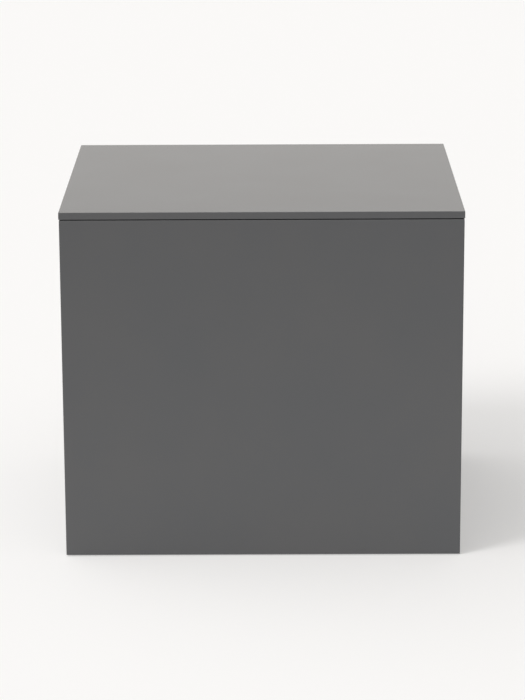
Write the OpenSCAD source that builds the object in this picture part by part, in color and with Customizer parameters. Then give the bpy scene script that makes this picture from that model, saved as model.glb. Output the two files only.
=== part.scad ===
// Wall-hung bedside cabinet with one handleless push-to-open drawer.
// Frame: X to the right, Y into the wall, Z up. The origin is on the wall, midway between the
// two slots that take the wall screws.

/* [Cabinet] */
// Width over the side panels and the cover
cabinet_w = 450; // [400:10:600]
// Depth from the wall to the face of the drawer front
cabinet_d = 400; // [380:10:450]
// Height from the underside to the top of the cover
cabinet_h = 400; // [380:10:460]
// Thickness of the cover that lies over the carcass and the front
cover_t = 8; // [6:1:12]
// Thickness of the side, bottom and inner top panels
panel_t = 16; // [16:1:19]
// Thickness of the back panel in its groove
back_t = 8; // [6:1:8]
// Radius of the eased edges of the lacquered boards
ease_r = 0.5; // [0.3:0.1:1]

/* [Drawer] */
// Thickness of the lacquered front
front_t = 19; // [18:1:22]
// Gap under the cover, above the front
front_top_gap = 1; // [0.8:0.1:3]
// Gap behind the front, which leaves room to press it in
front_back_gap = 3; // [2.8:0.1:4]
// Thickness of the drawer box sides, inner front and back
box_t = 12; // [12:1:13]
// Free height between the drawer box and the hanging batten
box_top_gap = 38; // [10:2:60]
// Height of the runner centreline above the underside
runner_z = 120; // [100:5:140]
// Balls in each row of a runner's cages
balls_per_row = 6; // [4:1:7]

/* [Hanging rail] */
// Thickness of the aluminium hanging rails
rail_t = 4; // [3.5:0.5:4.5]
// Depth of the wall screw line below the top of the cover
screw_drop = 100; // [96:1:104]
// Distance between the two wall screw slots
slot_spacing = 300; // [200:10:300]
// Width of a wall screw slot
slot_w = 5.5; // [4.5:0.5:6.5]
// Length of a wall screw slot, end to end
slot_l = 16; // [10:1:24]

/* [Hidden] */
$fn = 48;
eps = 0.01;                                // by how much cuts run past a face
arc_step = 9;                              // degrees between the points of a bend

// Finishes
lacquer = "#656563";
melamine = "#5c5c5a";
beech = "#c9a878";
zinc = "#b9bcbf";
alu = "#c3c6c8";
steel = "#8f9296";
grey_plastic = "#6b6c6d";
black_plastic = "#2a2a2b";
rubber = "#1e1e1f";

// Carcass
side_x = cabinet_w / 2 - panel_t;          // inner face of a side panel
carcass_top = cabinet_h - cover_t;         // top of the sides and the inner top
inner_top_z = carcass_top - panel_t;       // underside of the inner top
carcass_front = -cabinet_d + front_t + front_back_gap;
groove_deep = 6;                           // how far a thin panel goes into its neighbours
groove_play = 0.1;
back_recess = 2 * rail_t + 1;              // room for the two hooked rails behind the back panel
back_y = -back_recess;                     // rear face of the back panel
back_inner_y = back_y - back_t;            // its face inside the cabinet
batten_t = 16;
batten_h = 60;
batten_y = back_inner_y - batten_t / 2;
batten_z = inner_top_z - batten_h;
screw_line_h = cabinet_h - screw_drop;     // wall screw line above the underside
bumper_r = 10;
bumper_x = 150;
bumper_z = 40;

// Dowels, cam fittings and screws, on the 32 mm furniture grid
grid = 32;
first_hole = 37;
play = 0.05;                               // radial play of what is pressed into a drilled hole
hole_extra = 0.5;                          // how much deeper a blind hole is than what fills it
dowel_r = 4;
dowel_l = 30;
dowel_in_side = 11;
box_dowel_r = 3;
box_dowel_in_side = 8;
cam_r = 7.5;
cam_h = 12.5;
cam_cap_t = 1.2;
cam_x = 24;                                // from a panel's end to the cam's centre
cam_bolt_r = 2.5;
cam_neck_r = 1.9;
cam_head_r = 3;
cam_bore_r = 4;
panel_mids = [panel_t / 2, inner_top_z + panel_t / 2];
cam_ys = [carcass_front + first_hole, -first_hole - grid / 2];
dowel_ys = [carcass_front + first_hole + grid, -first_hole - 1.5 * grid];
batten_dowel_edge = 14;
batten_dowel_zs = [batten_z + batten_dowel_edge, batten_z + batten_h - batten_dowel_edge];
cover_screw_x = 150;
cover_screw_ys = [carcass_front + first_hole + grid / 2, -first_hole - grid];
cover_screw_l = panel_t + cover_t / 2;
screw_r = 1.75;
screw_head_r = 3.5;
screw_point_r = 0.3;
pan_head_h = 2.4;
pan_rim_h = 0.8;                           // bevelled rim of a pan head

// Drawer front and box
front_side_inset = 0.5;                    // of the front's ends behind the sides of the cabinet
front_w = cabinet_w - 2 * front_side_inset;
front_bottom = 1;
front_top = carcass_top - front_top_gap;
front_back = -cabinet_d + front_t;
runner_w = 12.7;                           // closed thickness of a telescopic runner
runner_step = 50;                          // runners come in lengths of this step
runner_front = carcass_front + 2;
runner_l = runner_step * floor((back_inner_y - runner_front) / runner_step);
runner_back = runner_front + runner_l;
runner_mid = (runner_front + runner_back) / 2;
box_x = side_x - runner_w;                 // outer face of a drawer side
box_in = box_x - box_t;                    // inner face of a drawer side
box_bottom = 28;
box_top = batten_z - box_top_gap;
inner_front_back = front_back + box_t;
box_back_front = runner_back - box_t;
floor_rise = 10;
floor_z = box_bottom + floor_rise;         // underside of the drawer bottom
floor_t = 6;
box_dowel_zs = [box_bottom + grid, box_top - 3 * grid / 2, box_top - grid / 2];
insert_r = 10;
insert_l = 11;
insert_floor = 1;
insert_x = 140;
insert_zs = [box_bottom + 2 * grid, box_top - 2 * grid];
fixing_r = 2;
fixing_l = 21;
fixing_head_r = 4;

// Telescopic runner in section: x from the side panel, y up from its centreline. The sheet of the
// outer member bends round the upper and lower balls, and the middle member swings from below the
// outer balls to above the inner ones, which run in the lip of the inner member.
runner_half_h = 22.25;
outer_web = 1.2;
middle_web = 1;
inner_web = 1.2;
outer_ball_r = 2.4;
inner_ball_r = 1.6;
race_play = 0.05;
outer_race = outer_ball_r + race_play;
inner_race = inner_ball_r + race_play;
swing = 50;                                // slope of the middle member where it swings over
outer_ball = [outer_web + outer_race, runner_half_h - outer_web - outer_race];
inner_ball = outer_ball + (outer_race + middle_web + inner_race) * [cos(swing), -sin(swing)];
middle_x = outer_web + 1;                  // face of the middle member towards the outer one
bend_r = outer_ball.x - middle_x - middle_web; // inside radius, so that the bend ends below the ball
middle_bend = outer_ball - [0, outer_race + middle_web + bend_r];
inner_bend = [runner_w - inner_web - bend_r, inner_ball.y - inner_race - inner_web - bend_r];
middle_tip = -15;                          // angle at which the middle member ends over the inner balls
inner_tip = 210;                           // angle at which the inner member ends under them
outer_bends = [[outer_ball, outer_race, 180, 0]];
middle_bends = [
    [middle_bend, bend_r, 180, 90],
    [outer_ball, outer_race, 270, 360 - swing],
    [inner_ball, inner_race, 180 - swing, middle_tip]
];
inner_bends = [
    [inner_bend, bend_r, 0, 90],
    [inner_ball, inner_race, 270, inner_tip]
];
cage_t = 0.5;
outer_cage_x = outer_web + 0.25;
outer_cage_reach = 1.9;                    // how far its lips run past the balls' centres
outer_cage_drop = cage_t / 2;              // how far its lips begin below the balls' centres
inner_cage_x = middle_x + middle_web + 0.3;
inner_cage_reach = 1.3;
inner_cage_drop = 0.7 * cage_t;
pocket_play = 0.1;
ball_pitch = 14;
cage_l = balls_per_row * ball_pitch;
screw_from_end = 35;
middle_screw_shift = 20;                   // of the screw near the middle, past the release lever
inner_screw_ys = [runner_front + screw_from_end, runner_back - screw_from_end];
outer_screw_ys = concat(inner_screw_ys, [runner_mid + middle_screw_shift]);
outer_screw_l = 12;
outer_screw_head_r = 3.2;
access_hole_r = 5.5;
inner_screw_l = 10;
inner_screw_head_r = 3.6;
adjust_slot_r = 2.1;                       // oblong holes for setting a runner before its last screw
adjust_slot_l = 8;                         // between the centres of their round ends
slot_from_screw = 20;
slot_ys = inner_screw_ys + [1, -1] * slot_from_screw;
cage_stop_r = 1.5;                         // pips pressed out of the sheet, which stop a cage's web
cage_stop_h = 0.65;
cage_stop_z = 9;
cage_stop_gap = 3;                         // between a cage and its stop, at either end of its way
cage_way = runner_l / 4;                   // how far a cage rolls along the member that carries it
cage_stop_ys = [
    runner_mid - cage_l / 2 - cage_way - cage_stop_gap,
    runner_mid + cage_l / 2 + cage_stop_gap
];

// Release lever, riveted to the inner member
lever_t = 1.6;
lever_x = 9.5;
lever_tail = 42;
lever_nose = 12;
rivet_r = 2;
rivet_head_r = 3.2;
rivet_head_h = 0.8;
rivet_head_gap = 0.1;                      // between the rivet's head and the lever
hinge_play = 0.05;

// Push latch in the front edge of each side panel
latch_x = side_x + panel_t / 2;
latch_z = 230;
latch_r = 5;
latch_l = 76;
latch_lip_r = 6;
latch_lip_t = 0.6;
latch_mouth_l = 4;
latch_floor_t = 3;
latch_bore_r = 3.7;
plunger_r = 3;
plunger_l = 34;
piston_r = 3.6;
piston_l = 6;
pad_r = 2.9;
pad_l = 1.8;
pad_gap = 0.3;                             // between the pad and the closed front
pad_tip = -front_back_gap + pad_gap;       // along the latch, from the carcass front
piston_end = pad_tip + pad_l + plunger_l;
latch_floor = latch_l - latch_floor_t;
coil_r = 2.9;                              // radius of the wire's centreline
wire_r = 0.35;
coil_turns = 13;
rings_per_turn = 8;
closed_pitch = 1.3;                        // rise of the first and last turn
coil_end_gap = 0.02;                       // between the wire and what it presses on
coil_start = piston_end + wire_r + coil_end_gap;
coil_end = latch_floor - wire_r - coil_end_gap;
coil_steps = coil_turns * rings_per_turn;
coil_path = [
    for (i = [0:coil_steps])
        let (turn = i / rings_per_turn)
        [coil_r * cos(360 * turn), coil_r * sin(360 * turn), coil_z(turn)]
];
wire_sides = 6;
wire_points = [
    for (i = [0:coil_steps], s = [0:wire_sides - 1])
        let (a = 360 * i / rings_per_turn, b = 360 * s / wire_sides)
        coil_path[i] + wire_r * [cos(b) * cos(a), cos(b) * sin(a), sin(b)]
];
wire_faces = [
    [for (s = [0:wire_sides - 1]) s],
    for (i = [0:coil_steps - 1], s = [0:wire_sides - 1])
        let (a = i * wire_sides + s, b = i * wire_sides + (s + 1) % wire_sides)
        each [[a, a + wire_sides, b], [b, a + wire_sides, b + wire_sides]],
    [for (s = [wire_sides - 1:-1:0]) coil_steps * wire_sides + s]
];
turn_distances = [
    for (i = [0:coil_steps - rings_per_turn]) norm(coil_path[i + rings_per_turn] - coil_path[i])
];
echo(least_gap_between_spring_turns = min(turn_distances) - 2 * wire_r);

// Aluminium hanging rails in section: x from the wall, y up from the screw line
rail_foot = -12;
rail_bend = 13;                            // where the rail turns away from the wall
rail_offset = rail_t + 0.6;                // from the wall to the back of the lip
rail_tip = 29;
lip_chamfer = rail_t / 2;
bend_shift = rail_t * tan(22.5);
rail_end_gap = 20;
rail_l = cabinet_w - 2 * panel_t - 2 * rail_end_gap;
// The cabinet's rail is the wall's rail turned over about this height, so that the bends seat
rail_turn_z = (rail_bend + rail_tip - lip_chamfer + back_recess - rail_offset) / 2;
rail_screw_z = 2 * rail_turn_z;
rail_screw_xs = [-150, -50, 50, 150];
rail_screw_l = 25;

// Shared shapes
module in_frame() {
    translate([0, 0, -screw_line_h]) children();
}

module both_sides() {
    children();
    mirror([1, 0, 0]) children();
}

module block(low, high) {
    translate(low) cube(high - low);
}

module eased_rect(low, high) {
    size = high - low;
    translate(low + [ease_r, 0]) square([size.x - 2 * ease_r, size.y]);
    translate(low + [0, ease_r]) square([size.x, size.y - 2 * ease_r]);
    for (x = [low.x + ease_r, high.x - ease_r], y = [low.y + ease_r, high.y - ease_r]) {
        translate([x, y]) circle(ease_r);
    }
}

// A board with all its edges eased: where three extrusions of rounded rectangles meet
module eased_board(low, high) {
    size = high - low;
    intersection() {
        translate([0, 0, low.z])
            linear_extrude(size.z) eased_rect([low.x, low.y], [high.x, high.y]);
        translate([0, high.y, 0]) rotate([90, 0, 0])
            linear_extrude(size.y) eased_rect([low.x, low.z], [high.x, high.z]);
        translate([low.x, 0, 0]) rotate([90, 0, 90])
            linear_extrude(size.x) eased_rect([low.y, low.z], [high.y, high.z]);
    }
}

// Pins along +X and +Y, for holes and what goes into them
module pin_x(at, r, l) {
    translate(at) rotate([0, 90, 0]) cylinder(r = r, h = l);
}

module pin_y(at, r, l) {
    translate(at) rotate([-90, 0, 0]) cylinder(r = r, h = l);
}

// A pin along +Z with bevelled ends: a dowel or a bumper
module bevelled_pin(r, l) {
    bevel = 1;
    rotate_extrude() polygon([[0, 0], [r - bevel, 0], [r, bevel], [r, l - bevel], [r - bevel, l], [0, l]]);
}

// A countersunk screw along +Z with the flat of its head at the origin; grow makes its hole
module countersunk(r, head_r, l, grow = 0) {
    point_l = head_r / 4;
    shank_l = l - point_l + grow;
    cylinder(r = r + grow, h = shank_l);
    cylinder(r1 = head_r + grow, r2 = r + grow, h = head_r - r);
    translate([0, 0, shank_l]) cylinder(r1 = r + grow, r2 = screw_point_r, h = point_l);
    if (grow > 0) translate([0, 0, -1]) cylinder(r = head_r + grow, h = 1 + eps);
}

// A pan-head screw along +Z with the top of its head at the origin and l under the head
module pan_headed(r, head_r, l) {
    difference() {
        union() {
            cylinder(r1 = head_r - pan_rim_h, r2 = head_r, h = pan_rim_h);
            translate([0, 0, pan_rim_h]) cylinder(r = head_r, h = pan_head_h - pan_rim_h);
            cylinder(r = r, h = pan_head_h + l);
        }
        cross_recess(head_r);
    }
}

// A cross recess to be cut from a screw's head
module cross_recess(size) {
    for (a = [0, 90]) {
        rotate(a) translate([-size / 2, -size / 10, -eps]) cube([size, size / 5, 0.4 * size]);
    }
}

// Bent sheet. A bend is [centre, inside radius, from angle, to angle], and the straights between
// the bends join up by themselves. One side of the sheet is a row of arcs.
function arc(centre, r, from, to) =
    let (steps = ceil(abs(to - from) / arc_step))
    [for (i = [0:steps]) let (a = from + (to - from) * i / steps) centre + r * [cos(a), sin(a)]];

function sheet_side(bends, t, left) = [
    for (b = bends)
        let (outside = (b[3] > b[2]) != left)
        each arc(b[0], b[1] + (outside ? t : 0), b[2], b[3])
];

function reversed(list) = [for (i = [len(list) - 1:-1:0]) list[i]];

function without_repeats(list) = [
    for (i = [0:len(list) - 1])
        if (i == 0 || norm(list[i] - list[i - 1]) > eps) list[i]
];

// A rolled section: its bends above the middle line, and the same turned over below
module rolled_section(bends, t) {
    left_side = sheet_side(bends, t, true);
    right_side = sheet_side(bends, t, false);
    upper = without_repeats(concat(left_side, reversed(right_side)));
    polygon(concat(upper, [for (p = reversed(upper)) [p.x, -p.y]]));
}

// Boards of the carcass
module top_cover() color(lacquer) in_frame() {
    difference() {
        eased_board([-cabinet_w / 2, -cabinet_d, carcass_top], [cabinet_w / 2, 0, cabinet_h]);
        cover_screw_holes();
    }
}

module cover_screw_places() {
    for (x = [-1, 0, 1] * cover_screw_x, y = cover_screw_ys) translate([x, y, inner_top_z]) children();
}

module cover_screw_holes() {
    cover_screw_places() countersunk(screw_r, screw_head_r, cover_screw_l, play);
}

// Cam pockets of a level panel, opening at the height z and running in along the direction up
module cam_pockets(z, up) {
    both_sides() for (y = cam_ys) {
        translate([side_x - cam_x, y, z]) mirror([0, 0, up > 0 ? 0 : 1]) {
            translate([0, 0, -eps]) cylinder(r = cam_r, h = cam_cap_t + cam_h + play + eps);
            pin_x([0, 0, panel_t / 2], cam_bore_r, cam_x + 1);
        }
    }
}

// Holes in the end of a level panel, for its dowels
module end_dowel_holes(z) {
    both_sides() for (y = dowel_ys) {
        pin_x([side_x - dowel_l + dowel_in_side - hole_extra, y, z], dowel_r + play, dowel_l);
    }
}

module back_panel_groove() {
    reach = groove_deep + groove_play;
    block(
        [-side_x - reach, back_inner_y, panel_t - groove_deep],
        [side_x + reach, back_y + groove_play, inner_top_z + reach]
    );
}

module inner_top() color(melamine) in_frame() {
    difference() {
        block([-side_x, carcass_front, inner_top_z], [side_x, 0, carcass_top]);
        back_panel_groove();
        cam_pockets(carcass_top, -1);
        end_dowel_holes(panel_mids[1]);
        cover_screw_holes();
    }
}

module bottom_panel() color(melamine) in_frame() {
    difference() {
        block([-side_x, carcass_front, 0], [side_x, 0, panel_t]);
        back_panel_groove();
        cam_pockets(0, 1);
        end_dowel_holes(panel_mids[0]);
    }
}

module side_panel() {
    difference() {
        eased_board([side_x, carcass_front, 0], [side_x + panel_t, 0, carcass_top]);
        back_panel_groove();
        for (z = panel_mids) {
            for (y = cam_ys) pin_x([side_x - 1, y, z], cam_bolt_r + play, dowel_in_side + hole_extra + 1);
            for (y = dowel_ys) pin_x([side_x - 1, y, z], dowel_r + play, dowel_in_side + hole_extra + 1);
        }
        for (z = batten_dowel_zs) {
            pin_x([side_x - 1, batten_y, z], dowel_r + play, dowel_in_side + hole_extra + 1);
        }
        for (y = outer_screw_ys) runner_place(y) outer_runner_screw(play);
        latch_place() cylinder(r = latch_r, h = latch_l + hole_extra);
    }
}

module left_side_panel() color(lacquer) in_frame() mirror([1, 0, 0]) side_panel();

module right_side_panel() color(lacquer) in_frame() side_panel();

module back_panel() color(melamine) in_frame() {
    difference() {
        block(
            [-side_x - groove_deep, back_inner_y, panel_t - groove_deep],
            [side_x + groove_deep, back_y, inner_top_z + groove_deep]
        );
        rail_screw_holes();
    }
}

module hanging_batten() color(melamine) in_frame() {
    difference() {
        block([-side_x, back_inner_y - batten_t, batten_z], [side_x, back_inner_y, inner_top_z]);
        both_sides() for (z = batten_dowel_zs) {
            pin_x([side_x - dowel_l + dowel_in_side - hole_extra, batten_y, z], dowel_r + play, dowel_l);
        }
        rail_screw_holes();
    }
}

// What joins the boards
module carcass_dowels() color(beech) in_frame() {
    both_sides() {
        for (y = dowel_ys, z = panel_mids) side_dowel(y, z);
        for (z = batten_dowel_zs) side_dowel(batten_y, z);
    }
}

module side_dowel(y, z) {
    translate([side_x + dowel_in_side - dowel_l, y, z]) rotate([0, 90, 0]) bevelled_pin(dowel_r, dowel_l);
}

module cam_bolts() color(zinc) in_frame() {
    head_l = 4;
    collar_l = 6;
    both_sides() for (y = cam_ys, z = panel_mids) {
        pin_x([side_x - cam_x - head_l / 2, y, z], cam_head_r, head_l);
        pin_x([side_x - cam_x, y, z], cam_neck_r, cam_x);
        pin_x([side_x - collar_l, y, z], cam_bore_r - play, collar_l);
        pin_x([side_x, y, z], cam_bolt_r, dowel_in_side);
    }
}

module cam_lock() {
    slack = 0.4;
    depth = panel_t / 2;
    driver_size = 6;
    difference() {
        translate([0, 0, cam_cap_t]) cylinder(r = cam_r - play, h = cam_h);
        pin_x([0, 0, depth], cam_neck_r + slack, cam_r + 1);
        pin_x([-cam_head_r, 0, depth], cam_head_r + slack, 2 * cam_head_r);
        translate([0, 0, cam_cap_t]) cross_recess(driver_size);
    }
}

module cam_locks() color(zinc) in_frame() {
    both_sides() for (y = cam_ys) {
        translate([side_x - cam_x, y, 0]) cam_lock();
        translate([side_x - cam_x, y, carcass_top]) mirror([0, 0, 1]) cam_lock();
    }
}

module cam_cover_caps() color(grey_plastic) in_frame() {
    both_sides() for (y = cam_ys) {
        translate([side_x - cam_x, y, 0]) cylinder(r = cam_r - play, h = cam_cap_t);
    }
}

module top_cover_screws() color(zinc) in_frame() {
    cover_screw_places() difference() {
        countersunk(screw_r, screw_head_r, cover_screw_l);
        cross_recess(screw_head_r);
    }
}

// Hanging rails: the section is drawn for the wall's rail, and the cabinet's is that one turned over
module rail_section() {
    polygon([
        [0, rail_foot],
        [0, rail_bend],
        [rail_offset, rail_bend + rail_offset],
        [rail_offset, rail_tip - lip_chamfer],
        [rail_offset + lip_chamfer, rail_tip],
        [rail_offset + rail_t, rail_tip],
        [rail_offset + rail_t, rail_bend + rail_offset - bend_shift],
        [rail_t, rail_bend - bend_shift],
        [rail_t, rail_foot]
    ]);
}

// The section stands in the plane of y and z, with its x running from the wall into the room
module rail_bar() {
    translate([rail_l / 2, 0, 0]) rotate([90, 0, -90]) linear_extrude(rail_l) rail_section();
}

module wall_hanging_rail() color(alu) {
    difference() {
        rail_bar();
        both_sides() translate([slot_spacing / 2, 0, 0]) {
            for (x = [-1, 1] * (slot_l - slot_w) / 2) pin_y([x, -rail_t - 1, 0], slot_w / 2, rail_t + 2);
            block(
                [-(slot_l - slot_w) / 2, -rail_t - 1, -slot_w / 2],
                [(slot_l - slot_w) / 2, 1, slot_w / 2]
            );
        }
    }
}

module cabinet_hanging_rail() color(alu) {
    difference() {
        translate([0, back_y, 2 * rail_turn_z]) rotate([180, 0, 0]) rail_bar();
        in_frame() rail_screw_holes();
    }
}

module rail_screw_places() {
    for (x = rail_screw_xs) {
        translate([x, back_y + rail_t, screw_line_h + rail_screw_z]) rotate([90, 0, 0]) children();
    }
}

module rail_screw_holes() {
    rail_screw_places() countersunk(screw_r, screw_head_r, rail_screw_l, play);
}

module hanging_rail_screws() color(zinc) in_frame() {
    rail_screw_places() difference() {
        countersunk(screw_r, screw_head_r, rail_screw_l);
        cross_recess(screw_head_r);
    }
}

module wall_bumpers() color(rubber) in_frame() {
    both_sides() translate([bumper_x, back_y, bumper_z]) rotate([-90, 0, 0]) {
        bevelled_pin(bumper_r, back_recess);
    }
}

// Telescopic runners. Each is drawn for the right-hand side of the cabinet.
module runner_place(y) {
    translate([side_x, y, runner_z]) mirror([1, 0, 0]) children();
}

// Extrudes a section along the runner
module along_runner(l) {
    runner_place(runner_mid + l / 2) rotate([90, 0, 0]) linear_extrude(l) children();
}

// A cage is a channel whose lips reach past the balls' centres and begin a little below them
module cage_section(web_x, ball, reach, drop) {
    lip_x = ball.x + reach;
    lip_z = ball.y - drop;
    polygon([
        [web_x, -lip_z - cage_t],
        [lip_x, -lip_z - cage_t],
        [lip_x, -lip_z],
        [web_x + cage_t, -lip_z],
        [web_x + cage_t, lip_z],
        [lip_x, lip_z],
        [lip_x, lip_z + cage_t],
        [web_x, lip_z + cage_t]
    ]);
}

// The pockets in which a cage holds its balls
module ball_pockets(ball, ball_r) {
    pocket_r = ball_r + pocket_play;
    ball_places(ball) cylinder(r = pocket_r, h = 2 * pocket_r, center = true);
}

module outer_runner_screw(grow = 0) {
    translate([outer_web, 0, 0]) rotate([0, -90, 0]) {
        countersunk(screw_r, outer_screw_head_r, outer_screw_l, grow);
    }
}

module inner_runner_screw() {
    translate([runner_w - inner_web - pan_head_h, 0, 0]) rotate([0, 90, 0]) {
        pan_headed(screw_r, inner_screw_head_r, inner_screw_l);
    }
}

// Oblong holes through a member's web, along the runner or upright
module adjusting_slots(upright) {
    for (y = slot_ys) runner_place(y) rotate([upright ? 90 : 0, 0, 0]) {
        for (end = [-1, 1] * adjust_slot_l / 2) pin_x([-1, end, 0], adjust_slot_r, runner_w + 2);
        block(
            [-1, -adjust_slot_l / 2, -adjust_slot_r],
            [runner_w + 1, adjust_slot_l / 2, adjust_slot_r]
        );
    }
}

// Pips on the face of a web, in front of the cage that rolls along it and behind it
module cage_stops(web_face) {
    for (y = cage_stop_ys, z = [-1, 1] * cage_stop_z) {
        runner_place(y) pin_x([web_face - eps, 0, z], cage_stop_r, cage_stop_h + eps);
    }
}

module outer_runner() {
    difference() {
        along_runner(runner_l) rolled_section(outer_bends, outer_web);
        for (y = outer_screw_ys) runner_place(y) outer_runner_screw(play);
        adjusting_slots(true);
    }
    cage_stops(outer_web);
}

module middle_runner() {
    difference() {
        along_runner(runner_l) rolled_section(middle_bends, middle_web);
        // openings through which the screws of the outer member are reached
        for (y = outer_screw_ys) runner_place(y) pin_x([0, 0, 0], access_hole_r, runner_w);
    }
    cage_stops(middle_x + middle_web);
}

module inner_runner() {
    difference() {
        along_runner(runner_l) rolled_section(inner_bends, inner_web);
        for (y = inner_screw_ys) runner_place(y) pin_x([0, 0, 0], screw_r + play, runner_w + 1);
        runner_place(runner_mid) pin_x([0, 0, 0], rivet_r + play, runner_w + 1);
        adjusting_slots(false);
    }
}

// The two rows of balls of one cage
module ball_places(ball) {
    for (i = [0:balls_per_row - 1], z = [-1, 1] * ball.y) {
        from_mid = (i - (balls_per_row - 1) / 2) * ball_pitch;
        runner_place(runner_mid + from_mid) translate([ball.x, 0, z]) children();
    }
}

module outer_ball_cage() {
    difference() {
        along_runner(cage_l) cage_section(outer_cage_x, outer_ball, outer_cage_reach, outer_cage_drop);
        ball_pockets(outer_ball, outer_ball_r);
    }
}

module inner_ball_cage() {
    difference() {
        along_runner(cage_l) cage_section(inner_cage_x, inner_ball, inner_cage_reach, inner_cage_drop);
        ball_pockets(inner_ball, inner_ball_r);
    }
}

module outer_balls() ball_places(outer_ball) sphere(outer_ball_r);

module inner_balls() ball_places(inner_ball) sphere(inner_ball_r);

module left_outer_runner() color(zinc) in_frame() mirror([1, 0, 0]) outer_runner();

module right_outer_runner() color(zinc) in_frame() outer_runner();

module left_middle_runner() color(zinc) in_frame() mirror([1, 0, 0]) middle_runner();

module right_middle_runner() color(zinc) in_frame() middle_runner();

module left_inner_runner() color(zinc) in_frame() mirror([1, 0, 0]) inner_runner();

module right_inner_runner() color(zinc) in_frame() inner_runner();

module left_outer_ball_cage() color(steel) in_frame() mirror([1, 0, 0]) outer_ball_cage();

module right_outer_ball_cage() color(steel) in_frame() outer_ball_cage();

module left_inner_ball_cage() color(steel) in_frame() mirror([1, 0, 0]) inner_ball_cage();

module right_inner_ball_cage() color(steel) in_frame() inner_ball_cage();

module left_outer_balls() color(steel) in_frame() mirror([1, 0, 0]) outer_balls();

module right_outer_balls() color(steel) in_frame() outer_balls();

module left_inner_balls() color(steel) in_frame() mirror([1, 0, 0]) inner_balls();

module right_inner_balls() color(steel) in_frame() inner_balls();

module outer_runner_screws() color(zinc) in_frame() {
    both_sides() for (y = outer_screw_ys) runner_place(y) difference() {
        outer_runner_screw();
        translate([outer_web, 0, 0]) rotate([0, -90, 0]) cross_recess(outer_screw_head_r);
    }
}

module inner_runner_screws() color(zinc) in_frame() {
    both_sides() for (y = inner_screw_ys) runner_place(y) inner_runner_screw();
}

// Release lever: a thumb tail in front of the rivet and a short catching nose behind it
module lever_outline() {
    hub_r = 5;
    tail_r = 3.2;
    nose_r = 2.2;
    nose_rise = 1.5;
    polygon(concat(
        arc([lever_tail, 0], tail_r, -85, 85),
        arc([0, 0], hub_r, 60, 110),
        arc([-lever_nose, nose_rise], nose_r, 80, 270),
        arc([0, 0], hub_r, 230, 300)
    ));
}

module release_lever() {
    runner_place(runner_mid) translate([lever_x, 0, 0]) rotate([90, 0, -90]) mirror([0, 0, 1]) {
        difference() {
            linear_extrude(lever_t) lever_outline();
            translate([0, 0, -1]) cylinder(r = rivet_r + hinge_play, h = lever_t + 2);
        }
    }
}

module left_release_lever() color(black_plastic) in_frame() mirror([1, 0, 0]) release_lever();

module right_release_lever() color(black_plastic) in_frame() release_lever();

module release_lever_rivets() color(steel) in_frame() {
    head_x = lever_x - rivet_head_gap - rivet_head_h;
    both_sides() runner_place(runner_mid) {
        pin_x([head_x, 0, 0], rivet_head_r, rivet_head_h);
        pin_x([head_x, 0, 0], rivet_r, runner_w - head_x);
    }
}

// Push latch, drawn along +Z from the front edge of the side panel
module latch_place() {
    translate([latch_x, carcass_front, latch_z]) rotate([-90, 0, 0]) children();
}

module latch_housing() {
    difference() {
        union() {
            cylinder(r = latch_r - play, h = latch_l);
            translate([0, 0, -latch_lip_t]) cylinder(r = latch_lip_r, h = latch_lip_t);
        }
        translate([0, 0, -1]) cylinder(r = plunger_r + play, h = latch_mouth_l + 2);
        translate([0, 0, latch_mouth_l]) cylinder(r = latch_bore_r, h = latch_floor - latch_mouth_l);
    }
}

module latch_plunger() {
    translate([0, 0, pad_tip + pad_l]) cylinder(r = plunger_r, h = plunger_l);
    translate([0, 0, piston_end - piston_l]) cylinder(r = piston_r, h = piston_l);
}

module latch_pad() {
    bevel = 0.5;
    translate([0, 0, pad_tip]) {
        cylinder(r1 = pad_r - bevel, r2 = pad_r, h = bevel);
        translate([0, 0, bevel]) cylinder(r = pad_r, h = pad_l - bevel);
    }
}

// Height of the wire along the spring: a close turn at each end and even turns between
function coil_z(turn) =
    let (open_pitch = (coil_end - coil_start - 2 * closed_pitch) / (coil_turns - 2))
    turn < 1 ? coil_start + turn * closed_pitch
    : turn > coil_turns - 1 ? coil_end - (coil_turns - turn) * closed_pitch
    : coil_start + closed_pitch + (turn - 1) * open_pitch;

module latch_spring() {
    polyhedron(wire_points, wire_faces);
}

module left_latch_housing() color(grey_plastic) in_frame() mirror([1, 0, 0]) latch_place() latch_housing();

module right_latch_housing() color(grey_plastic) in_frame() latch_place() latch_housing();

module left_latch_spring() color(steel) in_frame() mirror([1, 0, 0]) latch_place() latch_spring();

module right_latch_spring() color(steel) in_frame() latch_place() latch_spring();

module left_latch_plunger() color(grey_plastic) in_frame() mirror([1, 0, 0]) latch_place() latch_plunger();

module right_latch_plunger() color(grey_plastic) in_frame() latch_place() latch_plunger();

module left_latch_pad() color(rubber) in_frame() mirror([1, 0, 0]) latch_place() latch_pad();

module right_latch_pad() color(rubber) in_frame() latch_place() latch_pad();

// Drawer
module drawer_front() color(lacquer) in_frame() {
    difference() {
        eased_board([-front_w / 2, -cabinet_d, front_bottom], [front_w / 2, front_back, front_top]);
        both_sides() for (z = insert_zs) {
            pin_y([insert_x, front_back - insert_l - hole_extra, z], insert_r, insert_l + hole_extra + 1);
        }
    }
}

module front_inserts() color(black_plastic) in_frame() {
    both_sides() for (z = insert_zs) difference() {
        pin_y([insert_x, front_back - insert_l, z], insert_r - play, insert_l);
        pin_y([insert_x, front_back - insert_l + insert_floor, z], fixing_r + play, insert_l);
    }
}

module front_fixing_screws() color(zinc) in_frame() {
    both_sides() for (z = insert_zs) {
        translate([insert_x, inner_front_back + pan_head_h, z]) rotate([90, 0, 0]) {
            pan_headed(fixing_r, fixing_head_r, fixing_l);
        }
    }
}

module drawer_bottom_groove() {
    reach = groove_deep + groove_play;
    block(
        [-box_in - reach, inner_front_back - reach, floor_z],
        [box_in + reach, box_back_front + reach, floor_z + floor_t + groove_play]
    );
}

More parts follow.
